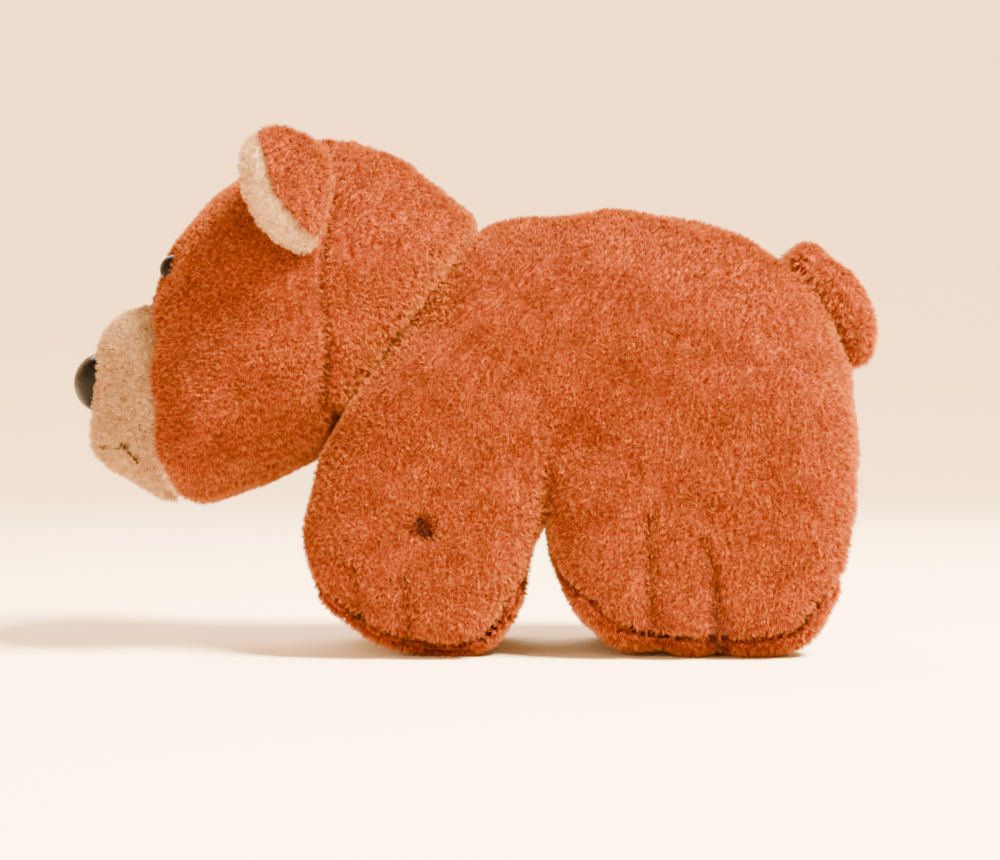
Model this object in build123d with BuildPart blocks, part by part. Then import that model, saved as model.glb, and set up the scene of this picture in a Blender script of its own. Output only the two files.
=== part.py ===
from build123d import *

import math
import os

# A palm-sized stuffed bear that stands on four feet, with its head lowered, cut from short-pile plush.
#
# The bear faces -Y and +X is its left. The origin is on the floor, under the middle of its length.
# Two side panels wrap the torso and the outsides of the legs. Two inner panels make the belly, the
# insides of the legs and the soles, so that each foot is seamed along its outer bottom edge. The head is
# a separate stuffed ball of four panels and a pale muzzle, sewn to the torso through one ring of
# stitches. Ears and tail are two-layer flaps. Nose and eyes are plastic, each with a shank and a locking
# washer inside.
#
# Every panel is a shell between an outer form and the same form inset by the fabric's thickness, and the
# stuffing is the form inset a little further. All sizes are in millimetres.

# Fabric, thread and filling
fabric = 1.2  # thickness of one plush panel, pile included
fill_clearance = 0.1  # between a panel and the stuffing
seam_gap = 0.04  # between two panels of one body along their seam
thread_radius = 0.3
thread_clearance = 0.05

# Torso: the hull of three circles (y, z, radius), extruded across the body
torso_chest = (4.0, 32.0, 14.5)
torso_back = (17.0, 33.0, 16.0)
torso_rump = (27.5, 28.6, 14.4)
torso_round = 11.5

# Legs: hulls of three circles (y, z, radius) each, as thick flat pads beside each other
foreleg_circles = ((-3.5, 25.0, 11.5), (-10.5, 8.0, 8.3), (-1.5, 6.5, 7.0))
hindleg_circles = ((28.0, 21.0, 14.6), (18.0, 9.0, 9.2), (33.0, 8.5, 8.8))
leg_inner = 3.5  # from the middle plane to the inside of a leg
leg_outer = 17.0  # from the middle plane to the outside of a leg, which sets the bear's width
leg_proud = 1.0  # how far the legs stand out from the torso's sides
leg_round = 5.5

# Seams of the body
belly_seam_inset = 4.5  # from the outside of a leg in to the seam between side and inner panel
belly_seam_height = 21.0

# Toe stitches: how far behind the toe circle's centre each one is, and how high it starts
foreleg_toes = (3.7, -1.9)
hindleg_toes = (1.0, 8.0)
foreleg_stitch_top = 9.2
hindleg_stitch_top = 14.5
toe_stitch_turn = 1.0  # how far each stitch goes round the foot's bottom rim, in radians
tack_place = (-5.0, 14.2)  # the thread tack above the fore paw, as (y, z)
tack_radius = 0.7
tack_depth = 0.8

# Neck
neck_centre = (0.0, -7.4, 35.8)
neck_tilt = 35.4  # of the neck's axis above the horizontal, in degrees
neck_gap = 4.8  # between torso and head, so that the head can nod and turn
neck_ring_radius = 10.4
neck_ring_thread = 0.4

# Head: a round-ended barrel whose long axis runs from the jaw up to the back of the head
head_ahead = 10.8  # from the neck's centre to the head's centre, forwards
head_below = 0.6  # and downwards
head_radius = 17.5
head_stretch = 5.0  # from the head's centre to the centre of each round end
head_axis_tilt = 51.1  # of the long axis above the horizontal, in degrees
ear_seam_behind = 2.2  # from the head's centre back to the seam that the ears are sewn into

# Muzzle
muzzle_sunk = 2.3  # how deep the muzzle's centre lies behind the front of the head
muzzle_below = 7.4
muzzle_radius = 10.2

# Nose
nose_rise = 13.0  # of the nose's axis above the horizontal, in degrees
nose_half_width = 3.8
nose_half_height = 3.2
nose_depth = 2.0  # how far it stands out of the muzzle
nose_shank_radius = 1.1
nose_shank_length = 6.0
washer_thickness = 0.9
nose_washer_radius = 3.2

# Eyes
eye_direction = (6.6, -15.6, 7.6)  # from the head's centre, with the left eye's sign
eye_radius = 1.7
eye_stand = 1.1
eye_shank_radius = 0.8
eye_shank_length = 4.5
eye_washer_radius = 2.6
plastic_clearance = 0.05  # round a shank in its hole

# Ears
ear_direction = (14.5, 2.2, 13.2)  # from the head's centre to the left ear's root
ear_half_width = 6.8
ear_height = 12.2
ear_layer = 1.7
ear_lean = 58.0  # forwards, in degrees
ear_clearance = 1.9  # between the head and the middle of the root
flap_round = 0.7

# Mouth
mouth_below = 5.6  # below the muzzle's centre
mouth_half_angle = 54.0  # round the muzzle to each side, in degrees

# Tail
tail_root = (37.54, 45.2)  # (y, z)
tail_angle = 63.0  # below the horizontal, in degrees
tail_half_width = 6.0
tail_length = 14.5
tail_layer = 1.7


def rounded_hull(circles, low_x, high_x, edge_round, inset):
    """The hull of the circles, from low_x to high_x with rounded rims, all of it inset."""
    with BuildPart() as form:
        with BuildSketch(Plane.YZ.offset(low_x + inset)):
            for y, z, radius in circles:
                with Locations((y, z)):
                    Circle(radius - inset)
            make_hull()
        extrude(amount=high_x - low_x - 2 * inset)
        fillet(form.faces().filter_by(Axis.X).edges(), radius=edge_round - inset)
    return form.part


def ball(centre, radius):
    """A sphere at a point."""
    with BuildPart() as form:
        with Locations(centre):
            Sphere(radius)
    return form.part


def post(origin, direction, radius, low, high):
    """A round post along a direction, from low to high as measured from its origin."""
    with BuildPart() as form:
        with BuildSketch(Plane(origin=origin, z_dir=direction).offset(low)):
            Circle(radius)
        extrude(amount=high - low)
    return form.part


def slab(low_x, high_x, high_z):
    """All the space between two x planes and below a height."""
    with BuildPart() as form:
        with Locations(((low_x + high_x) / 2, 0, high_z - far / 2)):
            Box(high_x - low_x, 2 * far, far)
    return form.part


def flap(plane, half_width, length, thickness):
    """One layer of a flap on a plane: a straight root along its X, and a round tip along its Y."""
    normal = Axis(plane.origin, plane.z_dir)
    with BuildPart() as form:
        with BuildSketch(plane):
            Ellipse(half_width, length)
            split(bisect_by=Plane.XZ, keep=Keep.BOTTOM)
        extrude(amount=thickness)
        rim = form.faces().sort_by(normal)[-1].edges().filter_by(GeomType.ELLIPSE)
        fillet(rim, radius=flap_round)
    return form.part


def mirrored(left):
    """The right-hand twin of a left-hand piece."""
    with BuildPart() as right:
        mirror(left.part, about=Plane.YZ)
    return right


# Places and directions ---------------------------------------------------------------------------

far = 120.0  # beyond the bear in every direction
half_seam = seam_gap / 2
torso_half_width = leg_outer - leg_proud
belly_seam = leg_outer - belly_seam_inset

neck_rise = math.radians(neck_tilt)
neck_axis = Vector(0, -math.cos(neck_rise), math.sin(neck_rise))
neck_plane = Plane(origin=neck_centre, x_dir=(1, 0, 0), z_dir=neck_axis)
torso_face = neck_plane.offset(-neck_gap / 2)
head_face = neck_plane.offset(neck_gap / 2)

head_centre = Vector(0, neck_centre[1] - head_ahead, neck_centre[2] - head_below)
head_tilt = math.radians(head_axis_tilt)
head_axis = Vector(0, math.cos(head_tilt), math.sin(head_tilt))
ear_seam = Plane.XZ.offset(-(head_centre.Y + ear_seam_behind))
muzzle_centre = head_centre + Vector(0, muzzle_sunk - head_radius, -muzzle_below)

nose_pitch = math.radians(nose_rise)
nose_axis = Vector(0, -math.cos(nose_pitch), math.sin(nose_pitch))
nose_place = muzzle_centre + nose_axis * muzzle_radius


def barrel(inset):
    """The head without its muzzle and not yet cut at the neck."""
    with BuildPart() as form:
        with BuildSketch(Plane(head_centre, x_dir=head_axis, z_dir=head_axis.cross(Vector(1, 0, 0)))):
            SlotCenterToCenter(2 * head_stretch, 2 * (head_radius - inset))
            split(bisect_by=Plane.XZ, keep=Keep.TOP)
        revolve(axis=Axis(head_centre, head_axis))
    return form.part


def head_surface(direction):
    """(point, outward normal) where a direction from the head's centre meets the head."""
    unit = Vector(*direction).normalized()
    along = unit.dot(head_axis)
    across = unit - head_axis * along
    reach = head_radius / across.length
    if abs(reach * along) <= head_stretch:
        return head_centre + unit * reach, across.normalized()
    end = head_axis * math.copysign(head_stretch, along)
    beyond = unit.dot(end)
    reach = beyond + math.sqrt(beyond**2 + head_radius**2 - head_stretch**2)
    return head_centre + unit * reach, (unit * reach - end).normalized()


def body_form(inset):
    """Torso and four legs as one form, flat under the feet and at the neck."""
    torso = rounded_hull(
        (torso_chest, torso_back, torso_rump), -torso_half_width, torso_half_width, torso_round, inset
    )
    legs = [
        rounded_hull(leg, low_x, high_x, leg_round, inset)
        for leg in (foreleg_circles, hindleg_circles)
        for low_x, high_x in ((leg_inner, leg_outer), (-leg_outer, -leg_inner))
    ]
    with BuildPart() as form:
        add(torso)
        add(legs)
        split(bisect_by=Plane.XY.offset(inset), keep=Keep.TOP)
        split(bisect_by=torso_face.offset(-inset), keep=Keep.BOTTOM)
    return form.part


def toe_tube(leg, behind, top, radius):
    """A tube down the outside of a left foot and round its bottom rim."""
    y = leg[1][0] + behind
    deep = leg_outer - thread_radius
    bend = leg_round - thread_radius
    bottom = leg[1][1] - leg[1][2] + leg_round
    end = (deep - bend * (1 - math.cos(toe_stitch_turn)), bottom - bend * math.sin(toe_stitch_turn))
    with BuildPart() as form:
        with BuildLine(Plane.XZ.offset(-y)) as path:
            Line((deep, top), (deep, bottom))
            RadiusArc((deep, bottom), end, bend)
        with BuildSketch(Plane(origin=path.line @ 0, z_dir=path.line % 0)):
            Circle(radius)
        sweep(path=path.line)
    return form.part


# Body: panels, filling and thread ----------------------------------------------------------------

body_outside = body_form(0)
body_inside = body_form(fabric)
body_filling = body_form(fabric + fill_clearance)
belly_space = slab(-far, belly_seam + half_seam, belly_seam_height + half_seam)
right_space = slab(-far, half_seam, far)
inner_space = slab(half_seam, belly_seam - half_seam, belly_seam_height - half_seam)
groove_radius = thread_radius + thread_clearance
foreleg_threads = [toe_tube(foreleg_circles, y, foreleg_stitch_top, thread_radius) for y in foreleg_toes]
foreleg_grooves = [toe_tube(foreleg_circles, y, foreleg_stitch_top, groove_radius) for y in foreleg_toes]
hindleg_threads = [toe_tube(hindleg_circles, y, hindleg_stitch_top, thread_radius) for y in hindleg_toes]
hindleg_grooves = [toe_tube(hindleg_circles, y, hindleg_stitch_top, groove_radius) for y in hindleg_toes]
tack_point = (leg_outer, *tack_place)
tack_hole = post(tack_point, (1, 0, 0), tack_radius + thread_clearance, -tack_depth, far / 4)

with BuildPart() as body_side_left:
    add(body_outside)
    add(body_inside, mode=Mode.SUBTRACT)
    add(belly_space, mode=Mode.SUBTRACT)
    add(right_space, mode=Mode.SUBTRACT)
    add(foreleg_grooves + hindleg_grooves, mode=Mode.SUBTRACT)
    add(tack_hole, mode=Mode.SUBTRACT)

with BuildPart() as inner_panel_left:
    add(body_outside)
    add(body_inside, mode=Mode.SUBTRACT)
    add(inner_space, mode=Mode.INTERSECT)
    add(foreleg_grooves + hindleg_grooves, mode=Mode.SUBTRACT)

with BuildPart() as body_stuffing:
    add(body_filling)

with BuildPart() as toe_stitches_fore_left:
    add(foreleg_threads)

with BuildPart() as toe_stitches_hind_left:
    add(hindleg_threads)

with BuildPart() as paw_tack_left:
    with BuildSketch(Plane.YZ.offset(leg_outer - tack_depth)):
        with Locations(tack_place):
            Circle(tack_radius)
    extrude(amount=tack_depth)

with BuildPart() as neck_stitching:
    with Locations(neck_plane):
        Torus(neck_ring_radius, neck_ring_thread)

# Head: nose and eyes -----------------------------------------------------------------------------


def washer_seat(inside_radius, washer_radius):
    """How far from a ball's centre a flat washer meets the inside of its fabric."""
    return math.sqrt(inside_radius**2 - washer_radius**2) - plastic_clearance


nose_plane = Plane(origin=nose_place, x_dir=(1, 0, 0), z_dir=nose_axis)
nose_seat = washer_seat(muzzle_radius - fabric, nose_washer_radius) - muzzle_radius
nose_bore = post(nose_place, nose_axis, nose_shank_radius + plastic_clearance, -far / 8, far / 8)
nose_button = scale(Sphere(1), by=(nose_half_width, nose_half_height, nose_depth))
muzzle_ball = ball(muzzle_centre, muzzle_radius)
muzzle_seat = ball(muzzle_centre, muzzle_radius + plastic_clearance)

with BuildPart() as nose:
    with Locations(nose_plane):
        add(nose_button)
    add(muzzle_seat, mode=Mode.SUBTRACT)
    with BuildSketch(nose_plane.offset(-nose_shank_length)):
        Circle(nose_shank_radius)
    extrude(amount=nose_shank_length + nose_depth / 2)

with BuildPart() as nose_washer:
    with BuildSketch(nose_plane.offset(nose_seat - washer_thickness)):
        Circle(nose_washer_radius)
        Circle(nose_shank_radius + plastic_clearance, mode=Mode.SUBTRACT)
    extrude(amount=washer_thickness)

eye_place, eye_normal = head_surface(eye_direction)
eye_plane = Plane(origin=eye_place, z_dir=eye_normal)
eye_seat = washer_seat(head_radius - fabric, eye_washer_radius) - head_radius
eye_bore = post(eye_place, eye_normal, eye_shank_radius + plastic_clearance, -far / 8, far / 8)
eye_ball = ball(eye_place + eye_normal * (eye_stand - eye_radius), eye_radius)
face_seat = barrel(-plastic_clearance)

with BuildPart() as eye_left:
    add(eye_ball)
    add(face_seat, mode=Mode.SUBTRACT)
    with BuildSketch(eye_plane.offset(-eye_shank_length)):
        Circle(eye_shank_radius)
    extrude(amount=eye_shank_length + eye_stand / 2)

with BuildPart() as eye_washer_left:
    with BuildSketch(eye_plane.offset(eye_seat - washer_thickness)):
        Circle(eye_washer_radius)
        Circle(eye_shank_radius + plastic_clearance, mode=Mode.SUBTRACT)
    extrude(amount=washer_thickness)

# Head: panels, filling and thread ----------------------------------------------------------------

head_outside = barrel(0)
head_inside = barrel(fabric)
head_filling = barrel(fabric + fill_clearance)
muzzle_gap = ball(muzzle_centre, muzzle_radius + seam_gap)
muzzle_inside = ball(muzzle_centre, muzzle_radius - fabric)
muzzle_filling = ball(muzzle_centre, muzzle_radius - fabric - fill_clearance)

with BuildPart() as face_left:
    add(head_outside)
    add(head_inside, mode=Mode.SUBTRACT)
    split(bisect_by=head_face, keep=Keep.TOP)
    split(bisect_by=Plane.YZ.offset(half_seam), keep=Keep.TOP)
    split(bisect_by=ear_seam.offset(half_seam), keep=Keep.TOP)
    add(muzzle_gap, mode=Mode.SUBTRACT)
    add(eye_bore, mode=Mode.SUBTRACT)

with BuildPart() as head_back_left:
    add(head_outside)
    add(head_inside, mode=Mode.SUBTRACT)
    split(bisect_by=head_face, keep=Keep.TOP)
    split(bisect_by=Plane.YZ.offset(half_seam), keep=Keep.TOP)
    split(bisect_by=ear_seam.offset(-half_seam), keep=Keep.BOTTOM)

with BuildPart() as muzzle:
    add(muzzle_ball)
    add(muzzle_inside, mode=Mode.SUBTRACT)
    add(head_inside, mode=Mode.SUBTRACT)
    add(nose_bore, mode=Mode.SUBTRACT)

mouth_radius = math.sqrt((muzzle_radius + groove_radius) ** 2 - mouth_below**2)
mouth_plane = Plane(origin=muzzle_centre - Vector(0, 0, mouth_below), x_dir=(0, -1, 0))

with BuildPart() as mouth_stitch:
    with BuildLine(mouth_plane) as mouth_line:
        CenterArc((0, 0), mouth_radius, -mouth_half_angle, 2 * mouth_half_angle)
    with BuildSketch(Plane(origin=mouth_line.line @ 0, z_dir=mouth_line.line % 0)):
        Circle(thread_radius)
    sweep(path=mouth_line.line)

deep_seat = nose_seat - washer_thickness - fill_clearance
shank_spaces = [
    post(nose_place, nose_axis, nose_shank_radius + fill_clearance, -nose_shank_length - fill_clearance, 0),
    post(nose_place, nose_axis, nose_washer_radius + fill_clearance, deep_seat, 0),
]
deep_seat = eye_seat - washer_thickness - fill_clearance
for side in (1, -1):
    place, normal = head_surface((side * eye_direction[0], eye_direction[1], eye_direction[2]))
    shank_spaces += [
        post(place, normal, eye_shank_radius + fill_clearance, -eye_shank_length - fill_clearance, 0),
        post(place, normal, eye_washer_radius + fill_clearance, deep_seat, 0),
    ]

with BuildPart() as head_stuffing:
    add(head_filling)
    add(muzzle_filling)
    split(bisect_by=head_face.offset(fabric), keep=Keep.TOP)
    add(shank_spaces, mode=Mode.SUBTRACT)

# Ears and tail -----------------------------------------------------------------------------------

ear_seat, ear_normal = head_surface(ear_direction)
ear_out = Vector(ear_normal.X, 0, ear_normal.Z).normalized()
ear_along = Vector(ear_out.Z, 0, -ear_out.X)
ear_pitch = math.radians(ear_lean)
ear_tip = ear_out * math.cos(ear_pitch) - Vector(0, math.sin(ear_pitch), 0)
ear_forward = ear_along.cross(ear_tip)
ear_root = ear_seat + ear_out * ear_clearance
ear_front_plane = Plane(ear_root + ear_forward * half_seam, x_dir=ear_along, z_dir=ear_forward)
ear_back_plane = Plane(ear_root - ear_forward * half_seam, x_dir=-ear_along, z_dir=-ear_forward)

tail_pitch = math.radians(tail_angle)
tail_out = Vector(0, math.sin(tail_pitch), math.cos(tail_pitch))
tail_top = Vector(0, *tail_root)
tail_outer_plane = Plane(tail_top + tail_out * half_seam, x_dir=(1, 0, 0), z_dir=tail_out)
tail_inner_plane = Plane(tail_top - tail_out * half_seam, x_dir=(-1, 0, 0), z_dir=-tail_out)

with BuildPart() as ear_front_left:
    add(flap(ear_front_plane, ear_half_width, ear_height, ear_layer))

with BuildPart() as ear_back_left:
    add(flap(ear_back_plane, ear_half_width, ear_height, ear_layer))

with BuildPart() as tail_outer:
    add(flap(tail_outer_plane, tail_half_width, tail_length, tail_layer))

with BuildPart() as tail_inner:
    add(flap(tail_inner_plane, tail_half_width, tail_length, tail_layer))

# Labels and files --------------------------------------------------------------------------------

pieces = {
    "body_stuffing": body_stuffing,
    "neck_stitching": neck_stitching,
    "nose": nose,
    "nose_washer": nose_washer,
    "muzzle": muzzle,
    "mouth_stitch": mouth_stitch,
    "head_stuffing": head_stuffing,
    "tail_outer": tail_outer,
    "tail_inner": tail_inner,
}
left_pieces = {
    "body_side": body_side_left,
    "inner_panel": inner_panel_left,
    "toe_stitches_fore": toe_stitches_fore_left,
    "toe_stitches_hind": toe_stitches_hind_left,
    "paw_tack": paw_tack_left,
    "eye": eye_left,
    "eye_washer": eye_washer_left,
    "face": face_left,
    "head_back": head_back_left,
    "ear_front": ear_front_left,
    "ear_back": ear_back_left,
}
for name, left in left_pieces.items():
    pieces[f"{name}_left"] = left
    pieces[f"{name}_right"] = mirrored(left)

os.makedirs("parts", exist_ok=True)
for name, piece in pieces.items():
    piece.part.label = name
    export_step(piece.part, f"parts/{name}.step")
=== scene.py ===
import math

import bpy
import numpy as np
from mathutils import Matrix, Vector


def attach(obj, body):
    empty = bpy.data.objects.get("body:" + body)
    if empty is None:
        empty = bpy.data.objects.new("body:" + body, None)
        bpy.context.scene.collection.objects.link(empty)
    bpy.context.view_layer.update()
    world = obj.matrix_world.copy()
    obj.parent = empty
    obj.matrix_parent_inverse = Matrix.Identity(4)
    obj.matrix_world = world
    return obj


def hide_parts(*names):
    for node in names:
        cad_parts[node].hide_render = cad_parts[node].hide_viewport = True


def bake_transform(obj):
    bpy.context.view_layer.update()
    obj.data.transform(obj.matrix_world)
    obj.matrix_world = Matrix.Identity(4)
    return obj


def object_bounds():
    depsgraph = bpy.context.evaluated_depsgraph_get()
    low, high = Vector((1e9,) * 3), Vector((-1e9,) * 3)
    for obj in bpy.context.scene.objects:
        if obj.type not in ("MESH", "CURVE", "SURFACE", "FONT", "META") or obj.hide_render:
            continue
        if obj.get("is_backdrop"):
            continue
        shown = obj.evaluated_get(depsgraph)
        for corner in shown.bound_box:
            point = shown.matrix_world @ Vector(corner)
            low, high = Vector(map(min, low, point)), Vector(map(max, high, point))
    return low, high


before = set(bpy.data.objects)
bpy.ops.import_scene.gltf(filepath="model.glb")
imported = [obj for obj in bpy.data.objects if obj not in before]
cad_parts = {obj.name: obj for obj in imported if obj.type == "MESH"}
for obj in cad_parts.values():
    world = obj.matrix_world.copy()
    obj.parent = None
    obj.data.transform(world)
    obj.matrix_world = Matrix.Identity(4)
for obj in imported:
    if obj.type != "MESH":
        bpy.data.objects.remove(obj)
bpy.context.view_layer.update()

MM = 0.001

# Camera: level with the middle of the bear, square to its left side -------------------------------

CAMERA_PLACE = (0.260, 0.0031, 0.0245)

camera_data = bpy.data.cameras.new("camera")
camera = bpy.data.objects.new("camera", camera_data)
bpy.context.scene.collection.objects.link(camera)
camera.location = CAMERA_PLACE
camera.rotation_euler = (math.radians(90), 0, math.radians(90))
camera_data.sensor_width = 36
camera_data.lens = 82.7
camera_data.clip_start = 0.01
bpy.context.scene.camera = camera

# Outlines, in millimetres, seen from the bear's left: (y, z) -------------------------------------

TORSO = [
    (0.0, 47.3), (8.2, 48.6), (16.7, 49.2), (25.8, 47.8), (33.4, 44.4), (38.2, 40.6), (41.3, 34.5),
    (42.8, 28), (42.6, 21), (38, 16.6), (25, 15.6), (16, 14.6), (8, 14.4), (0, 16), (-7, 18.0), (-12.6, 20.4),
    (-15.9, 23.6), (-14.8, 29), (-9, 39), (-4, 45),
]
FORELEG = [
    (-14.9, 24.2), (-16.7, 20.1), (-17.8, 15.8), (-18.1, 12.2), (-17.6, 9.0), (-15.6, 5.4), (-12.2, 2.9),
    (-9, 1.2), (-3.1, 0.0), (0.6, 0.5), (3.2, 2.2), (5.0, 4.8), (6.0, 9.0), (7.0, 12.4), (8.0, 15.2),
    (8.8, 19), (8.0, 26), (3, 32), (-3, 35), (-9, 33), (-12.6, 29.5),
]
HINDLEG = [
    (7.9, 17.4), (8.4, 14.6), (8.7, 11.4), (9.6, 7.9), (11.2, 5.0), (13.6, 2.7), (17.2, 0.8), (24.9, 0.0),
    (30, 0.0), (34.9, 0.8), (37.6, 3.1), (39.6, 6.6), (40.7, 10.6), (41.3, 15.8), (41.4, 22.3), (39, 29),
    (32, 33.5), (22, 32.5), (14, 27), (9.0, 22),
]
HEAD = [
    (-16.7, 57.2), (-22.9, 54.8), (-28.9, 50.6), (-33.0, 46.0), (-35.1, 40.9), (-36.2, 37.0), (-37.2, 33.0),
    (-37.5, 28.4), (-36.9, 23.7), (-35.7, 20.0), (-33.9, 17.9), (-30.6, 16.5), (-24.5, 18.1), (-19.8, 20.5),
    (-14.0, 22.2), (-8.5, 25.6), (-3, 32.6), (0.8, 41), (0.6, 47.6), (-2.2, 50.5), (-5.4, 52.9),
    (-8.5, 55.0), (-13, 56.7),
]
MUZZLE = [
    (-34.5, 38.4), (-38.6, 38.0), (-41.3, 35.9), (-42.1, 33.8), (-42.4, 30.4), (-42.7, 26.6), (-43.0, 24.2),
    (-42.6, 22.2), (-40.9, 20.4), (-37.8, 18.6), (-33.5, 16.6), (-29, 19), (-27, 27), (-29, 35),
]


def smooth_closed(points, between=6):
    """A closed Catmull-Rom curve through the points."""
    p = np.array(points, float)
    a, b, c, d = np.roll(p, 1, 0), p, np.roll(p, -1, 0), np.roll(p, -2, 0)
    rows = []
    for t in np.arange(between) / between:
        square, cube = 2 * a - 5 * b + 4 * c - d, 3 * b - a - 3 * c + d
        rows.append(0.5 * (2 * b + (c - a) * t + square * t**2 + cube * t**3))
    return np.stack(rows, 1).reshape(-1, 2)


class Outline:
    """Signed distance to a closed outline in the YZ plane, held on a fine grid."""

    step = 0.4

    def __init__(self, points):
        p = smooth_closed(points)
        self.low = p.min(0) - 8
        size = np.ceil((p.max(0) + 8 - self.low) / self.step).astype(int) + 1
        y = self.low[0] + self.step * np.arange(size[0])
        z = self.low[1] + self.step * np.arange(size[1])
        q = np.stack(np.meshgrid(y, z, indexing="ij"), -1).reshape(-1, 2)
        a, b = p, np.roll(p, -1, 0)
        best = np.full(len(q), 1e9)
        inside = np.zeros(len(q), bool)
        for i in range(len(a)):
            e = b[i] - a[i]
            w = q - a[i]
            t = np.clip((w @ e) / (e @ e), 0, 1)
            gap = w - t[:, None] * e
            best = np.minimum(best, (gap**2).sum(1))
            crosses = (a[i][1] > q[:, 1]) != (b[i][1] > q[:, 1])
            if e[1]:
                inside ^= crosses & (q[:, 0] < a[i][0] + (q[:, 1] - a[i][1]) * e[0] / e[1])
        self.grid = (np.where(inside, -1, 1) * np.sqrt(best)).reshape(size)

    def __call__(self, y, z):
        u = np.clip((y - self.low[0]) / self.step, 0, self.grid.shape[0] - 1.001)
        v = np.clip((z - self.low[1]) / self.step, 0, self.grid.shape[1] - 1.001)
        i, j = u.astype(int), v.astype(int)
        s, t = u - i, v - j
        g = self.grid
        return (
            g[i, j] * (1 - s) * (1 - t) + g[i + 1, j] * s * (1 - t)
            + g[i, j + 1] * (1 - s) * t + g[i + 1, j + 1] * s * t
        )


def join(a, b, k):
    """Smooth union: the seam between two forms fills by k."""
    h = np.clip(0.5 + 0.5 * (b - a) / k, 0, 1)
    return b * (1 - h) + a * h - k * h * (1 - h)


def cut(a, b, k):
    """Smooth intersection of two forms, with an edge rounded by k."""
    return -join(-a, -b, k)


def pillow(p, outline, middle, half, rim, power=2.0):
    """An outline stuffed out to half its thickness either side of x = middle, over a rim of a width."""
    u = np.clip((outline(p[..., 1], p[..., 2]) + rim) / rim, 0, None)
    v = np.abs(p[..., 0] - middle) / half
    return ((u**power + v**power) ** (1 / power) - 1) * min(rim, half)


def blob(p, centre, radii):
    """An ellipsoid's distance, near enough."""
    q = (p - np.array(centre)) / np.array(radii)
    k0 = np.sqrt((q**2).sum(-1))
    k1 = np.sqrt(((q / np.array(radii)) ** 2).sum(-1)) + 1e-9
    return k0 * (k0 - 1) / k1


def line_distance(p, points):
    """Distance to an open run of straight lines through the points."""
    best = np.full(p.shape[:-1], 1e9)
    pts = np.array(points, float)
    for i in range(len(pts) - 1):
        e = pts[i + 1] - pts[i]
        w = p - pts[i]
        t = np.clip((w @ e) / (e @ e), 0, 1)
        best = np.minimum(best, np.sqrt(((w - t[..., None] * e) ** 2).sum(-1)))
    return best


def groove(p, points, depth, width):
    """How much a stitched line pulls the surface in."""
    return depth * np.exp(-((line_distance(p, points) / width) ** 2))


torso_line, foreleg_line, hindleg_line = Outline(TORSO), Outline(FORELEG), Outline(HINDLEG)
head_line, muzzle_line = Outline(HEAD), Outline(MUZZLE)

# How each outline is stuffed: its middle in x, its half thickness, its rim's width and its roundness
TORSO_FILL = (0, 16.4, 15.5, 2.15)
FORELEG_FILL = (9.9, 7.3, 6.8, 2.3)
HINDLEG_FILL = (10.0, 7.5, 7.0, 2.3)
HEAD_FILL = (0, 19.0, 17.2, 2.1)
MUZZLE_FILL = (0, 10.4, 8.5, 2.0)

UNDER_PILE = 0.4  # how far the cloth lies under the outline that the pile makes
LUMPS = 0.16  # how high the filling's unevenness is
WALL = 1.3  # thickness of the cloth
FILLING_GAP = 1.6  # between the cloth and the filling
SEAM_ROUND = 0.8  # how much the cloth rounds over a seam in the middle plane
NECK = np.array([0, -7.4, 35.8])
NECK_AXIS = np.array([0, -0.8151, 0.5793])
EAR_SEAM_Y = -15.4

# Stitched lines on the left side, in millimetres: (x, y, z)
FORE_TOES = [
    [(17.4, -6.9, 8.8), (17.2, -6.9, 6.6), (16.4, -6.8, 4.2), (14.0, -6.7, 1.2)],
    [(17.2, -12.6, 9.6), (16.9, -12.5, 7.8), (15.6, -12.3, 5.6), (13.4, -12.2, 3.2)],
]
HIND_TOES = [
    [(17.6, 18.9, 15.0), (17.5, 19.0, 11.0), (17.2, 19.1, 7.0), (16.3, 19.5, 3.4), (13.5, 20.2, 0.3)],
    [(17.6, 24.7, 12.7), (17.5, 25.7, 9.8), (17.2, 26.2, 6.6), (16.3, 26.3, 3.4), (13.5, 26.6, 0.0)],
]
SOLE_LINES = [
    [(17.4, 19.1, 5.6), (16.5, 19.6, 3.0), (13.5, 20.4, 0.0), (4.5, 20.6, 0.0)],
    [(17.4, 26.2, 5.2), (16.5, 26.4, 3.0), (13.5, 26.7, 0.0), (4.5, 26.8, 0.0)],
    [(17.3, -6.9, 4.6), (16.6, -6.8, 3.6)],
]
TACK = [(17.6, -4.9, 14.2), (16.6, -4.9, 14.2)]
CHEEK = [(15.0, -26.0, 23.6), (16.2, -23.4, 22.4), (15.8, -20.8, 21.6), (13.0, -18.0, 21.4)]


def left(p):
    """The same points folded onto the left side."""
    return np.concatenate([np.abs(p[..., :1]), p[..., 1:]], -1)


def lumps(p, size):
    """Unevenness of the filling, a few tenths of a millimetre high."""
    x, y, z = p[..., 0], p[..., 1], p[..., 2]
    broad = np.sin(0.52 * y + 0.31 * z) * np.sin(0.44 * z - 0.2 * x)
    fine = np.sin(0.83 * z - 0.37 * y) * np.sin(0.6 * x + 0.3 * y)
    return size * (broad + fine)


def body_creases(p):
    """How deep the stitched lines and the seam round each foot pull the cloth in."""
    q = left(p)
    low = np.clip((13 - p[..., 2]) / 4, 0, 1)
    edge = gusset(q)
    f = 1.5 * low * np.exp(-((edge / np.where(edge < 0, 0.35, 0.75)) ** 2))
    for run in FORE_TOES + HIND_TOES:
        f = np.maximum(f, groove(q, run, 1.4, 0.9))
    for run in SOLE_LINES:
        f = np.maximum(f, groove(q, run, 1.6, 1.3))
    return np.maximum(f, groove(q, TACK, 2.1, 1.25))


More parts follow.
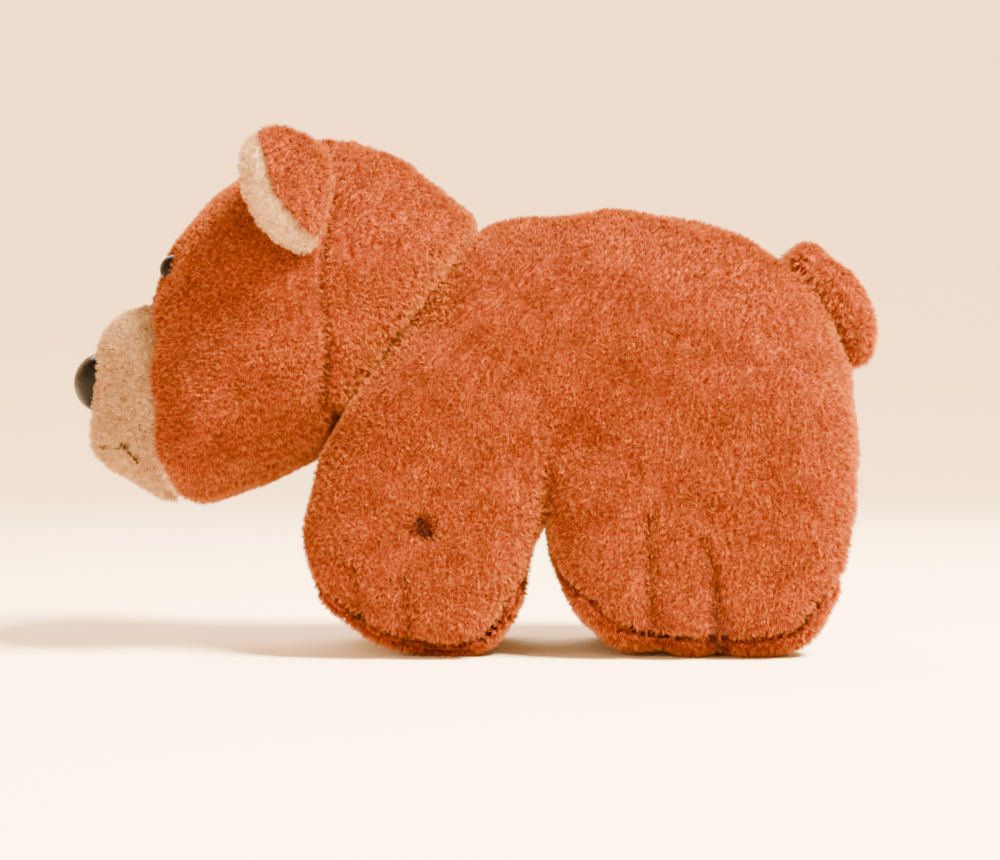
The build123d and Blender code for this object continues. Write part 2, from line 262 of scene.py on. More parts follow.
def body(p):
    """Torso and legs, without any seam."""
    q = left(p)
    legs = join(
        pillow(q, foreleg_line, *FORELEG_FILL), pillow(q, hindleg_line, *HINDLEG_FILL), 1.0
    )
    f = join(pillow(q, torso_line, *TORSO_FILL), legs, 3.5)
    ahead = (p - NECK) @ NECK_AXIS
    f = cut(f, ahead, 1.6)
    f = f + body_creases(p)
    return f + UNDER_PILE + lumps(p, LUMPS)


def gusset(p):
    """Negative where the inner panels are: between the legs, inside them and under the feet."""
    y, z = p[..., 1], p[..., 2]
    arch = (np.sqrt((p[..., 0] / 10.6) ** 2 + (np.clip(z - 8, 0, None) / 15.5) ** 2) - 1) * 9.5
    deep = -np.minimum(foreleg_line(y, z), hindleg_line(y, z))
    sole = deep - 1.9 - 0.35 * np.tanh((y - 7) / 3) + 0.7 * np.clip(z - 6.5, 0, None)
    return join(arch, sole, 0.6)


def body_side(p):
    f = cut(body(p), -gusset(p), 1.0)
    return cut(f, -p[..., 0], SEAM_ROUND)


def inner_panel(p):
    f = cut(body(p), gusset(p), 0.8)
    return cut(f, -p[..., 0], SEAM_ROUND)


def behind_seam(p):
    """Positive behind the seam that runs over the head from ear to ear; it wanders a little."""
    z = p[..., 2]
    return p[..., 1] - EAR_SEAM_Y - 0.3 * np.sin(0.6 * z) - 0.15 * np.sin(1.7 * z)


def head_creases(p):
    """How deep the cheek's crease and the seam from ear to throat lie."""
    seam = np.exp(-((behind_seam(p) / 0.8) ** 2)) * np.clip((56 - p[..., 2]) / 25, 0.2, 1)
    return groove(left(p), CHEEK, 1.5, 1.1) + 0.65 * seam


def head(p):
    """Head without its muzzle, cut at the neck."""
    q = left(p)
    f = pillow(q, head_line, *HEAD_FILL)
    f = cut(f, -((p - NECK) @ NECK_AXIS), 1.6)
    return f + head_creases(p) + UNDER_PILE + lumps(p + 3, LUMPS)


def muzzle_form(p):
    return pillow(p, muzzle_line, *MUZZLE_FILL) + UNDER_PILE


def face(p):
    f = cut(head(p), behind_seam(p), 0.8)
    f = cut(f, -p[..., 0], SEAM_ROUND)
    return cut(f, -(muzzle_form(p) - 0.1), 1.0)


def head_back(p):
    f = cut(head(p), -behind_seam(p), 0.8)
    return cut(f, -p[..., 0], SEAM_ROUND)


# Surfaces ----------------------------------------------------------------------------------------

CORNERS = [(i, j, k) for i in (0, 1) for j in (0, 1) for k in (0, 1)]
EDGES = [
    (a, b) for a in CORNERS for b in CORNERS
    if sum(b) - sum(a) == 1 and all(x <= y for x, y in zip(a, b))
]


def net(form, low, high, step):
    """A closed quad mesh of a form's surface: points and faces, in millimetres."""
    n = np.ceil((np.array(high) - np.array(low)) / step).astype(int) + 1
    axes = [low[i] + step * np.arange(n[i]) for i in range(3)]
    p = np.stack(np.meshgrid(*axes, indexing="ij"), -1)
    f = np.concatenate([form(p[i:i + 1]) for i in range(n[0])])
    inside = f < 0

    def corner(a, c):
        return a[c[0]:n[0] - 1 + c[0], c[1]:n[1] - 1 + c[1], c[2]:n[2] - 1 + c[2]]

    total = np.zeros(tuple(n - 1) + (3,))
    count = np.zeros(tuple(n - 1))
    for a, b in EDGES:
        fa, fb = corner(f, a), corner(f, b)
        crossing = corner(inside, a) != corner(inside, b)
        t = np.where(crossing, fa / np.where(crossing, fa - fb, 1), 0)
        spot = np.array(a) + t[..., None] * (np.array(b) - np.array(a))
        total += np.where(crossing[..., None], spot, 0)
        count += crossing
    live = count > 0
    where = np.argwhere(live)
    points = np.array(low) + step * (where + total[live] / count[live][:, None])
    index = np.full(tuple(n - 1), -1)
    index[live] = np.arange(len(where))
    faces = []
    for axis in range(3):
        u, v = [i for i in range(3) if i != axis]
        shift = np.eye(3, dtype=int)
        a = inside[tuple(slice(0, n[i] - 1) if i == axis else slice(1, n[i] - 1) for i in range(3))]
        b = inside[tuple(slice(1, n[i]) if i == axis else slice(1, n[i] - 1) for i in range(3))]
        at = np.argwhere(a != b)
        out = a[a != b]
        at = at + shift[u] + shift[v]
        quads = [
            index[tuple((at - du * shift[u] - dv * shift[v]).T)]
            for du, dv in ((1, 1), (0, 1), (0, 0), (1, 0))
        ]
        quad = np.stack(quads, 1)
        flip = out if axis != 1 else ~out
        quad[~flip] = quad[~flip][:, ::-1]
        faces.append(quad)
    return points, np.concatenate(faces)


def settle(points, form, steps=3):
    """Moves the points onto the form's surface."""
    e = 0.05
    for _ in range(steps):
        f = form(points)
        g = np.stack([(form(points + d) - form(points - d)) / (2 * e) for d in np.eye(3) * e], -1)
        size = np.maximum((g**2).sum(-1), 0.2)
        points = points - np.clip(f / size, -0.3, 0.3)[:, None] * g
    return points


def mesh_of(name, points, faces, mirror=False):
    """A Blender object in metres."""
    p = points * MM
    if mirror:
        p = p * [-1, 1, 1]
        faces = faces[:, ::-1]
    mesh = bpy.data.meshes.new(name)
    mesh.vertices.add(len(p))
    mesh.vertices.foreach_set("co", p.astype(np.float32).ravel())
    mesh.loops.add(faces.size)
    mesh.loops.foreach_set("vertex_index", faces.astype(np.int32).ravel())
    mesh.polygons.add(len(faces))
    mesh.polygons.foreach_set("loop_start", np.arange(0, faces.size, 4, dtype=np.int32))
    mesh.update(calc_edges=True)
    mesh.validate()
    mesh.shade_smooth()
    obj = bpy.data.objects.new(name, mesh)
    bpy.context.scene.collection.objects.link(obj)
    return obj


STEP = 0.62

# Materials ---------------------------------------------------------------------------------------


def shader(name):
    """A new material: its node tree and its Principled shader."""
    m = bpy.data.materials.new(name)
    m.use_nodes = True
    return m, m.node_tree, m.node_tree.nodes["Principled BSDF"]


def node(tree, kind, **values):
    """A node with some of its input values or properties set."""
    n = tree.nodes.new(kind)
    for key, value in values.items():
        if key in n.inputs:
            n.inputs[key].default_value = value
        else:
            setattr(n, key, value)
    return n


def noise(tree, scale, detail=3.0, rough=0.55):
    """Noise in the piece's own space, with a scale in waves per metre."""
    place = node(tree, "ShaderNodeTexCoord")
    n = node(tree, "ShaderNodeTexNoise", Scale=scale, Detail=detail, Roughness=rough)
    tree.links.new(place.outputs["Object"], n.inputs["Vector"])
    return n.outputs["Fac"]


def ramp(tree, source, stops):
    """Colours along a value."""
    r = node(tree, "ShaderNodeValToRGB")
    while len(r.color_ramp.elements) < len(stops):
        r.color_ramp.elements.new(0.5)
    for e, (at, colour) in zip(r.color_ramp.elements, stops):
        e.position = at
        e.color = (*colour, 1)
    tree.links.new(source, r.inputs["Fac"])
    return r.outputs["Color"]


def mix(tree, kind, factor, a, b):
    """Two colours mixed; factor, a and b are sockets or values."""
    m = node(tree, "ShaderNodeMix", data_type="RGBA", blend_type=kind)
    for socket, value in ((m.inputs[0], factor), (m.inputs[6], a), (m.inputs[7], b)):
        if isinstance(value, bpy.types.NodeSocket):
            tree.links.new(value, socket)
        elif isinstance(value, tuple):
            socket.default_value = (*value, 1)
        else:
            socket.default_value = value
    return m.outputs[2]


def plush(name, dark, middle, light):
    """The woven ground of a plush: what shows between the fibres, with painted shade darkening it along the
    stitched creases.
    """
    m, tree, out = shader(name)
    pile = noise(tree, 2600, 4, 0.7)
    clumps = noise(tree, 420, 3)
    colour = ramp(tree, pile, [(0.34, dark), (0.5, middle), (0.68, light)])
    shade = ramp(tree, clumps, [(0.35, (0.72, 0.66, 0.6)), (0.6, (1, 1, 1))])
    colour = mix(tree, "MULTIPLY", 0.5, colour, shade)
    # Painted shade: the ground darkens towards (0.3, 0.24, 0.2) as deep as the stitched creases lie.
    fold_shade = node(tree, "ShaderNodeAttribute", attribute_name="fold_shade")
    colour = mix(tree, "MULTIPLY", fold_shade.outputs["Fac"], colour, (0.3, 0.24, 0.2))
    tree.links.new(colour, out.inputs["Base Color"])
    out.inputs["Roughness"].default_value = 0.95
    out.inputs["Specular IOR Level"].default_value = 0.1
    out.inputs["Sheen Weight"].default_value = 0.05
    bump = node(tree, "ShaderNodeBump", Strength=0.8, Distance=0.0004)
    tree.links.new(pile, bump.inputs["Height"])
    tree.links.new(bump.outputs["Normal"], out.inputs["Normal"])
    return m


def fibres(name, root, middle, tip):
    """The fibres of a plush: painted shade darkens them towards the root, and a painted highlight pales them
    towards the tip.
    """
    m, tree, out = shader(name)
    info = node(tree, "ShaderNodeHairInfo")
    # Painted shade at the root, painted highlight at the tip.
    along = ramp(tree, info.outputs["Intercept"], [(0.0, root), (0.55, middle), (1.0, tip)])
    each = ramp(
        tree, info.outputs["Random"],
        [(0.0, (0.62, 0.52, 0.45)), (0.35, (0.95, 0.92, 0.9)), (1.0, (1.25, 1.3, 1.3))],
    )
    colour = mix(tree, "MULTIPLY", 1.0, along, each)
    patches = ramp(tree, noise(tree, 260, 2), [(0.35, (0.86, 0.8, 0.76)), (0.62, (1.06, 1.06, 1.04))])
    colour = mix(tree, "MULTIPLY", 1.0, colour, patches)
    specks = ramp(
        tree, noise(tree, 1500, 3, 0.6),
        [(0.38, (0.5, 0.42, 0.36)), (0.5, (1, 1, 1)), (0.68, (1.15, 1.2, 1.2))],
    )
    colour = mix(tree, "MULTIPLY", 0.8, colour, specks)
    tree.links.new(colour, out.inputs["Base Color"])
    out.inputs["Roughness"].default_value = 0.9
    out.inputs["Specular IOR Level"].default_value = 0.0
    return m


def thread_material(name, dark, light):
    """Dull sewing thread, its tone uneven along its length."""
    m, tree, out = shader(name)
    colour = ramp(tree, noise(tree, 5200, 2), [(0.35, dark), (0.65, light)])
    tree.links.new(colour, out.inputs["Base Color"])
    out.inputs["Roughness"].default_value = 0.85
    out.inputs["Specular IOR Level"].default_value = 0.03
    bump = node(tree, "ShaderNodeBump", Strength=0.5, Distance=0.0001)
    tree.links.new(noise(tree, 9000, 2), bump.inputs["Height"])
    tree.links.new(bump.outputs["Normal"], out.inputs["Normal"])
    return m


def plastic(name, colour, rough):
    """Moulded plastic with faint scuffs."""
    m, tree, out = shader(name)
    dark, light = (tuple(c * k for c in colour) for k in (0.8, 1.15))
    tone = ramp(tree, noise(tree, 300, 3), [(0.3, dark), (0.7, light)])
    tree.links.new(tone, out.inputs["Base Color"])
    scuffs = ramp(tree, noise(tree, 1900, 5, 0.7), [(0.45, (rough,) * 3), (0.72, (rough + 0.2,) * 3)])
    tree.links.new(scuffs, out.inputs["Roughness"])
    out.inputs["IOR"].default_value = 1.15
    bump = node(tree, "ShaderNodeBump", Strength=0.08, Distance=0.0001)
    tree.links.new(noise(tree, 1200, 2), bump.inputs["Height"])
    tree.links.new(bump.outputs["Normal"], out.inputs["Normal"])
    return m


BROWN = plush("brown_plush_ground", (0.09, 0.008, 0.001), (0.22, 0.036, 0.006), (0.34, 0.085, 0.017))
BROWN_PILE = fibres("brown_plush_pile", (0.11, 0.011, 0.0015), (0.27, 0.052, 0.011), (0.42, 0.150, 0.042))
CREAM = plush("cream_plush_ground", (0.28, 0.17, 0.08), (0.42, 0.27, 0.14), (0.50, 0.34, 0.19))
CREAM_PILE = fibres("cream_plush_pile", (0.34, 0.21, 0.10), (0.46, 0.30, 0.16), (0.54, 0.38, 0.23))
BLACK = plastic("black_plastic", (0.0025, 0.002, 0.0018), 0.24)
WHITE = plastic("washer_plastic", (0.72, 0.72, 0.69), 0.5)
FILL = plush("stuffing_fibre", (0.34, 0.33, 0.31), (0.50, 0.49, 0.46), (0.58, 0.57, 0.54))
THREAD = thread_material("brown_thread", (0.03, 0.008, 0.002), (0.08, 0.024, 0.006))
DARK_THREAD = thread_material("dark_thread", (0.012, 0.005, 0.003), (0.045, 0.016, 0.009))

# Pieces ------------------------------------------------------------------------------------------

EYE = np.array([6.6, -33.6, 42.7])


def shell(panel, base):
    """A panel as thick as its cloth, from a solid panel and the form it was cut from."""
    return lambda p: cut(panel(p), -(base(p) + WALL), 0.3)


def skin(form, low, high, outside, step, creases=None):
    """Points and faces of a piece on the left side, with the pile's weight at each point and how deep the
    crease lies there, which thins the pile and sets the ground's painted shade.
    """
    points, faces = net(form, low, high, step)
    points = settle(points, form)
    f = outside(points)
    weight = np.clip((f + 0.9) / 0.5, 0, 1)
    fold_shade = np.clip(creases(points) / 0.6 - 0.2, 0, 1) if creases else np.zeros(len(points))
    weight = weight * (1 - 0.9 * fold_shade)
    eye = np.linalg.norm(points - EYE, axis=1)
    weight = weight * np.clip((eye - 1.6) / 0.5, 0, 1)
    return points, faces, weight, fold_shade


DENSITY = 13.0  # fibres to the square millimetre, each with six more round it
FIBRE_RADIUS = 0.032


def pile(obj, weight, length, material, seed, lean):
    """Gives a piece its pile, of fibres of a length in millimetres."""
    mesh = obj.data
    obj.vertex_groups.new(name="pile")
    group = obj.vertex_groups["pile"]
    for w in np.unique(np.round(weight, 1)):
        if w > 0:
            group.add(np.flatnonzero(np.round(weight, 1) == w).tolist(), float(w), "REPLACE")
    area = 0.0
    for poly in mesh.polygons:
        area += poly.area * float(np.mean([weight[v] for v in poly.vertices]))
    area /= MM**2
    mesh.materials.append(material)
    obj.modifiers.new("pile", "PARTICLE_SYSTEM")
    system = obj.particle_systems[-1]
    system.seed = seed
    system.vertex_group_density = "pile"
    s = system.settings
    s.type = "HAIR"
    s.use_advanced_hair = True
    s.count = int(area * DENSITY / (1))
    s.hair_step = 3
    s.render_step = 2
    s.display_step = 2
    s.emit_from = "FACE"
    s.distribution = "RAND"
    s.use_modifier_stack = True
    s.normal_factor = length * MM / 4
    s.object_align_factor = tuple(c * length * MM / 4 for c in lean)
    s.factor_random = 0.5 * length * MM / 4
    s.child_type = "INTERPOLATED"
    s.rendered_child_count = 6
    s.child_percent = 1
    s.child_length = 1.0
    s.clump_factor = 0.15
    s.roughness_1 = 0.00006
    s.roughness_1_size = 0.001
    s.roughness_2 = 0.0001
    s.roughness_2_size = 0.0006
    s.roughness_endpoint = 0.00012
    s.root_radius = 1.0
    s.tip_radius = 0.35
    s.radius_scale = FIBRE_RADIUS * MM
    s.material = len(mesh.materials)
    return obj


def build(
    name, points, faces, weight, ground, fibre, nodes, rides, mirror, seed, length, lean,
    fold_shade=None,
):
    """A plush piece with its pile, standing for some nodes of the frame."""
    obj = mesh_of(name, points, faces, mirror)
    # The crease depth goes onto the mesh, for the ground's painted shade in the creases.
    if fold_shade is not None:
        obj.data.attributes.new("fold_shade", "FLOAT", "POINT").data.foreach_set("value", fold_shade.astype(np.float32))
    obj.data.materials.append(ground)
    pile(obj, weight, length, fibre, seed, lean)
    rides(obj)
    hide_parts(*nodes)
    return obj


def on_torso(obj):
    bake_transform(obj)


def on_head(obj):
    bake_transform(obj)


FUR = 0.66
forms = [
    (
        "body_side_plush", shell(body_side, body), (-1.5, -20, -1), (19, 45, 52), body, body_creases,
        "body_side", on_torso,
    ),
    (
        "inner_panel_plush", shell(inner_panel, body), (-1.5, -20, -1), (18, 45, 28), body, body_creases,
        "inner_panel", on_torso,
    ),
    (
        "face_plush", shell(face, head), (-1.5, -40, 14), (21, -13, 61), head, head_creases,
        "face", on_head,
    ),
    (
        "head_back_plush", shell(head_back, head), (-1.5, -18, 14), (21, 5, 61), head, head_creases,
        "head_back", on_head,
    ),
]
seed = 11
for name, form, low, high, outside, creases, cad, rides in forms:
    points, faces, weight, fold_shade = skin(form, low, high, outside, STEP, creases)
    for side, mirror in (("left", False), ("right", True)):
        seed += 1
        build(
            f"{name}_{side}", points, faces, weight, BROWN, BROWN_PILE, [f"{cad}_{side}"], rides,
            mirror, seed, FUR, (0, 0.05, -0.25), fold_shade,
        )


def muzzle_panel(p):
    return cut(cut(muzzle_form(p), -(muzzle_form(p) + WALL), 0.2), p[..., 1] + 31, 0.5)


points, faces, weight, _ = skin(muzzle_panel, (-12, -46, 15), (12, -28, 42), muzzle_form, STEP * 0.9)
build(
    "muzzle_plush", points, faces, weight * (points[:, 1] < -34), CREAM, CREAM_PILE, ["muzzle"],
    lambda o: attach(o, "head"), False, 41, 0.65, (0, 0, -0.2),
)

# Filling: the same forms, inset by the cloth -------------------------------------------------------


def filling(name, form, low, high, node, rides):
    points, faces = net(form, low, high, 1.2)
    obj = mesh_of(name, settle(points, form, 2), faces)
    obj.data.materials.append(FILL)
    rides(obj)
    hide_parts(node)


BODY_LOW, BODY_HIGH = (-19, -20, -1), (19, 45, 52)
HEAD_LOW, HEAD_HIGH = (-21, -46, 14), (21, 5, 61)
filling("body_filling", lambda p: body(p) + WALL + FILLING_GAP, BODY_LOW, BODY_HIGH, "body_stuffing", on_torso)
filling(
    "head_filling", lambda p: np.minimum(head(p), muzzle_form(p)) + WALL + FILLING_GAP,
    HEAD_LOW, HEAD_HIGH, "head_stuffing", on_head,
)

# Thread ------------------------------------------------------------------------------------------

SEWN_THREAD, NECK_THREAD, MOUTH_THREAD = 0.17, 0.14, 0.27  # radii of the pairs of strands
TURN_STEP = 0.12  # between the points along a strand
RING_SIDES = 96


def resample(points, step):
    """Points at an even step along a run of straight lines."""
    p = np.array(points, float)
    long = np.concatenate([[0], np.cumsum(np.linalg.norm(np.diff(p, axis=0), axis=1))])
    n = max(3, int(round(long[-1] / step)) + 1)
    at = np.linspace(0, long[-1], n)
    return np.stack([np.interp(at, long, p[:, i]) for i in range(3)], 1)


def tube(path, radius, sides=8):
    """Points and faces of a closed tube along a path; faces are lists, because its ends are many-sided."""
    t = np.gradient(path, axis=0)
    t /= np.linalg.norm(t, axis=1)[:, None]
    side = np.cross(t[0], [0.3, 0.5, 0.8])
    points = []
    for i in range(len(path)):
        side = side - t[i] * (side @ t[i])
        side /= np.linalg.norm(side)
        up = np.cross(t[i], side)
        for k in range(sides):
            a = 2 * math.pi * k / sides
            points.append(path[i] + radius * (math.cos(a) * side + math.sin(a) * up))
    faces = [list(range(sides))[::-1], list(range(len(points) - sides, len(points)))]
    for i in range(len(path) - 1):
        for k in range(sides):
            j = (k + 1) % sides
            faces.append([i * sides + k, i * sides + j, (i + 1) * sides + j, (i + 1) * sides + k])
    return points, faces


def twisted(path, radius, pitch=1.1):
    """Two strands wound round a path."""
    path = resample(path, TURN_STEP)
    t = np.gradient(path, axis=0)
    t /= np.linalg.norm(t, axis=1)[:, None]
    side = np.cross(t, [0.31, 0.52, 0.79])
    side /= np.linalg.norm(side, axis=1)[:, None]
    up = np.cross(t, side)
    turn = 2 * math.pi * np.arange(len(path)) * TURN_STEP / pitch
    strands = []
    for phase in (0, math.pi):
        c, s = np.cos(turn + phase)[:, None], np.sin(turn + phase)[:, None]
        strands.append(tube(path + 0.55 * radius * (c * side + s * up), 0.55 * radius))
    return strands


def thread(name, paths, radius, material, node, rides, mirror=False):
    """Twisted threads along some paths, as one piece."""
    verts, faces = [], []
    for path in paths:
        for points, rows in twisted(path, radius):
            faces += [[i + len(verts) for i in row] for row in rows]
            verts += points
    v = np.array(verts) * MM
    if mirror:
        v = v * [-1, 1, 1]
        faces = [row[::-1] for row in faces]
    mesh = bpy.data.meshes.new(name)
    mesh.from_pydata(v.tolist(), [], faces)
    mesh.shade_smooth()
    obj = bpy.data.objects.new(name, mesh)
    bpy.context.scene.collection.objects.link(obj)
    obj.data.materials.append(material)
    rides(obj)
    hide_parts(node)
    return obj


def laid(run, form, proud):
    """A run of points laid on a form, standing proud of it."""
    return settle(resample(run, 0.5), lambda p: form(p) - proud, 6)


for side, mirror in (("left", False), ("right", True)):
    for foot, runs in (("fore", FORE_TOES), ("hind", HIND_TOES)):
        thread(
            f"toe_thread_{foot}_{side}", [laid(r, body, 0.05) for r in runs], SEWN_THREAD, THREAD,
            f"toe_stitches_{foot}_{side}", on_torso, mirror,
        )
    y, z = TACK[0][1:]
    loops = [
        laid([(17, y - 0.7, z - 0.4), (17, y, z + 0.2), (17, y + 0.8, z + 0.5)], body, 0.05),
        laid([(17, y - 0.5, z + 0.6), (17, y, z - 0.1), (17, y + 0.4, z - 0.8)], body, 0.1),
    ]
    thread(
        f"paw_tack_thread_{side}", loops, SEWN_THREAD, DARK_THREAD,
        f"paw_tack_{side}", on_torso, mirror,
    )

mouth = [
    (9.0 * math.sin(a), -35.3 - 8.0 * math.cos(a), 22.1 + 1.2 * (1 - abs(a)) ** 2)
    for a in np.linspace(-1.2, 1.2, 17)
]
philtrum = [(0, -43.0, 26.6), (0, -43.2, 25.2), (0, -43.2, 23.6)]
knots = [
    [(s * 8.4, -38.5, 23.0), (s * 8.5, -38.0, 22.2), (s * 8.5, -37.6, 21.0), (s * 8.3, -37.2, 19.9)]
    for s in (1, -1)
]
thread(
    "mouth_thread",
    [laid(r, muzzle_form, 0.1) for r in [mouth, philtrum]] + [laid(r, muzzle_form, 0.3) for r in knots],
    MOUTH_THREAD, DARK_THREAD, "mouth_stitch", lambda o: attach(o, "head"),
)


def neck_crease(angle):
    """The place of the neck's crease in a direction round its axis, a little way inside the cloth."""
    up = np.array([0, 0.5793, 0.8151])
    way = math.cos(angle) * np.array([1.0, 0, 0]) + math.sin(angle) * up
    r = np.linspace(4, 22, 120)
    p = NECK + r[:, None] * way
    q = left(p)
    f = np.maximum(
        np.minimum(pillow(q, torso_line, *TORSO_FILL), pillow(q, foreleg_line, *FORELEG_FILL)),
        pillow(q, head_line, *HEAD_FILL),
    )
    return NECK + way * (r[np.argmax(f > 0)] - 2.5)


ring = np.array([neck_crease(a) for a in np.linspace(0, 2 * math.pi, RING_SIDES + 1)[:-1]])
ring = (ring + np.roll(ring, 1, 0) + np.roll(ring, -1, 0)) / 3
over = [
    [
        ring[i] - 0.9 * NECK_AXIS, ring[i] + 0.35 * (ring[i] - NECK) / 12,
        ring[(i + 1) % RING_SIDES] + 0.9 * NECK_AXIS,
    ]
    for i in range(0, RING_SIDES, 2)
]
thread(
    "neck_thread", [ring] + over, NECK_THREAD, THREAD, "neck_stitching",
    lambda o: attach(o, "neck"),
)

# Ears: one pad, parted where the pale lining rolls over the rim -----------------------------------

EAR_ROOT = np.array([16.28, -15.97, 49.6])
EAR_ALONG = np.array([0.5422, 0, -0.8402])
EAR_TIP = np.array([0.4453, -0.8480, 0.2873])
EAR_FRONT = np.array([-0.7126, -0.5299, -0.4598])


def local(p, origin, a, b, c):
    """The points in a piece's own three directions."""
    q = p - origin
    return q @ a, q @ b, q @ c


def ear_place(p):
    """Along the root, out from it, forwards of the cupped sheet, and 1 at the rim."""
    a, t, n = local(p, EAR_ROOT, EAR_ALONG, EAR_TIP, EAR_FRONT)
    n = n - 0.05 * a**2 - 0.012 * (t - 5) ** 2 + 1.3
    rim = np.sqrt((a / 7.1) ** 2 + (np.clip(t - 2.0, 0, None) / 7.7) ** 2)
    return a, t, n, rim


def ear_pad(p):
    _, t, n, rim = ear_place(p)
    e = (rim - 1) * 7 + 2.6
    half = 1.75 * np.clip(0.45 + t / 6, 0.45, 1)
    f = (np.sqrt(np.clip(e / 2.6, 0, None) ** 2 + (n / half) ** 2) - 1) * half
    return cut(f, -(t + 0.6), 1.0)


def ear_part(p):
    """Positive on the lining's side."""
    a, t, n, rim = ear_place(p)
    lower = np.clip((a + 4.5) / 5.0, 0, 1)
    return n + 0.1 + lower * 1.8 * np.clip((rim - 0.5) / 0.4, 0, 1) * np.clip(t / 4, -0.5, 1)


def ear_back(p):
    return cut(ear_pad(p), ear_part(p), 0.9)


def ear_front(p):
    return cut(ear_pad(p), -ear_part(p), 0.9)


for part, form, ground, fibre, slot, length in (
    ("ear_back", ear_back, BROWN, BROWN_PILE, "brown_plush", 0.7),
    ("ear_front", ear_front, CREAM, CREAM_PILE, "cream_plush", 0.45),
):
    points, faces, weight, _ = skin(form, (8, -32, 40), (29, -10, 63), ear_pad, STEP * 0.65)
    for side, mirror in (("left", False), ("right", True)):
        seed += 1
        build(
            f"{part}_plush_{side}", points, faces, weight, ground, fibre, [f"{part}_{side}"],
            lambda o, b=f"{side}_ear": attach(o, b), mirror, seed, length, (0, 0, -0.1),
        )


# Tail --------------------------------------------------------------------------------------------

TAIL_TOP = np.array([0, 37.54, 45.2])
TAIL_DOWN = np.array([0, 0.4540, -0.8910])
TAIL_OUT = np.array([0, 0.8910, 0.4540])
ACROSS = np.array([1.0, 0, 0])


def tail_place(p):
    """Across the tail, down from its top, out from its curved middle, and 1 at the rim."""
    a, t, n = local(p, TAIL_TOP, ACROSS, TAIL_DOWN, TAIL_OUT)
    n = n - 2.3 * np.sin(np.clip(t / 16, 0, 1) * np.pi) + 1.2 + 0.03 * a**2
    rim = np.sqrt((a / 6.0) ** 2 + (np.clip(t - 6.0, 0, None) / 8.6) ** 2)
    return a, t, n, rim


def tail_pad(p):
    _, t, n, rim = tail_place(p)
    e = (rim - 1) * 6 + 2.8
    half = 2.0 * np.clip(0.3 + t / 6, 0.3, 1)
    f = (np.sqrt(np.clip(e / 2.8, 0, None) ** 2 + (n / half) ** 2) - 1) * half
    f = cut(f, -(t - 0.4), 0.8)
    root = np.stack(local(p, TAIL_TOP, ACROSS, TAIL_DOWN, TAIL_OUT), -1)
    return join(f, blob(root, (0, 1.3, -0.7), (4.8, 1.5, 1.8)), 1.2)


def on_tail(obj):
    """Bakes the piece's place into its mesh; it rides no body."""
    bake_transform(obj)


for part, form in (
    ("tail_outer", lambda p: cut(tail_pad(p), -tail_place(p)[2], 0.9)),
    ("tail_inner", lambda p: cut(tail_pad(p), tail_place(p)[2], 0.9)),
):
    points, faces, weight, _ = skin(form, (-8, 30, 28), (8, 50, 52), tail_pad, STEP * 0.8)
    seed += 1
    build(
        f"{part}_plush", points, faces, weight, BROWN, BROWN_PILE, [part],
        on_tail, False, seed, 0.75, (0, 0, -0.3),
    )

# Plastic -----------------------------------------------------------------------------------------

NOSE_AXIS = np.array([0, -0.9744, 0.2250])
NOSE_UP = np.array([0, 0.2250, 0.9744])
NOSE_AT = np.array([0, -42.1, 29.9])


def nose_form(p):
    a, t, n = local(p, NOSE_AT, ACROSS, NOSE_UP, NOSE_AXIS)
    a = a / (1 + 0.09 * np.clip(t, -3, 3))
    return blob(np.stack([a, t, n], -1), (0, 0, 0), (3.8, 3.35, 2.95))


points, faces = net(nose_form, (-6, -47, 24), (6, -37, 36), 0.3)
nose = mesh_of("nose_button", settle(points, nose_form), faces)
nose.data.materials.append(BLACK)
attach(nose, "head")
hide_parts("nose")

for name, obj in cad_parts.items():
    if name.startswith("eye_washer") or name == "nose_washer":
        obj.material_slots[0].material = WHITE
    elif name.startswith("eye_"):
        obj.material_slots[0].material = BLACK

# Stage and light ---------------------------------------------------------------------------------

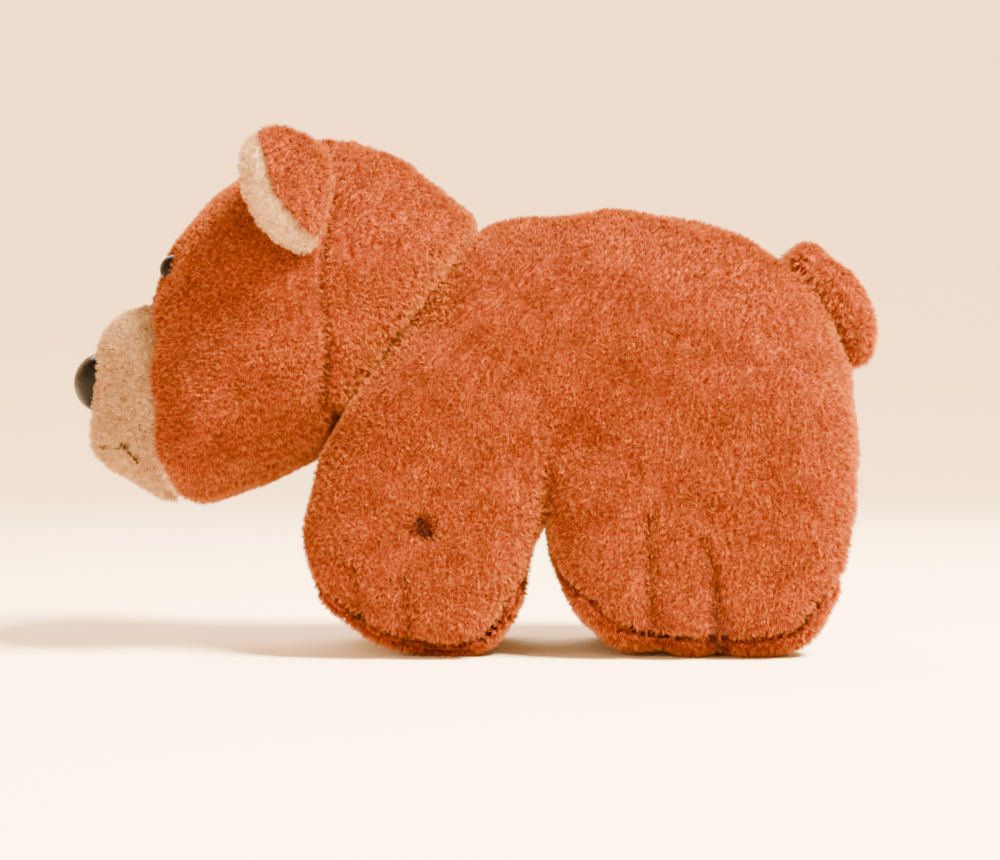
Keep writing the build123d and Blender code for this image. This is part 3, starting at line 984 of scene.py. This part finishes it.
stage_material, tree, out = shader("stage")
tone = ramp(tree, noise(tree, 3.5, 3), [(0.3, (0.90, 0.71, 0.50)), (0.7, (0.94, 0.76, 0.55))])
tree.links.new(tone, out.inputs["Base Color"])
out.inputs["Roughness"].default_value = 0.9

FLAT, BEND = 0.55, 0.45  # the flat floor's radius, and that of the bend up to the wall
profile = [(0.15, 0.0), (0.35, 0.0), (FLAT, 0.0)]
profile += [(FLAT + BEND * math.sin(t), BEND - BEND * math.cos(t)) for t in np.linspace(0.1, math.pi / 2, 14)]
profile += [(FLAT + BEND, 1.3)]
turns = 96
verts = [
    (r * math.cos(k * 2 * math.pi / turns), r * math.sin(k * 2 * math.pi / turns), z)
    for r, z in profile for k in range(turns)
]
quads = [
    (i * turns + k, (i + 1) * turns + k, (i + 1) * turns + (k + 1) % turns, i * turns + (k + 1) % turns)
    for i in range(len(profile) - 1) for k in range(turns)
]
mesh = bpy.data.meshes.new("floor")
mesh.from_pydata(verts, [], [tuple(range(turns))] + quads)
mesh.shade_smooth()
floor = bpy.data.objects.new("floor", mesh)
floor.data.materials.append(stage_material)
bpy.context.scene.collection.objects.link(floor)
floor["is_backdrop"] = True


LIT = (0, 0, 0.03)  # where the lamps point


def lamp(name, place, size, power, colour):
    """A round lamp that points at the bear."""
    data = bpy.data.lights.new(name, "AREA")
    data.shape = "DISK"
    data.size = size
    data.energy = power
    data.color = colour
    obj = bpy.data.objects.new(name, data)
    obj.location = place
    obj.rotation_euler = (Vector(LIT) - Vector(place)).to_track_quat("-Z", "Y").to_euler()
    bpy.context.scene.collection.objects.link(obj)


lamp("key", (0.20, 0.29, 0.46), 0.20, 43.0, (1.0, 0.86, 0.66))
lamp("fill", (0.45, -0.25, 0.20), 0.5, 1.2, (1.0, 0.88, 0.74))
lamp("back", (-0.35, -0.10, 0.45), 0.4, 5.0, (1.0, 0.88, 0.72))

world = bpy.data.worlds.new("world")
bpy.context.scene.world = world
world.use_nodes = True
background = world.node_tree.nodes["Background"]
background.inputs["Color"].default_value = (1.0, 0.89, 0.75, 1)
background.inputs["Strength"].default_value = 0.85

low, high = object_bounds()
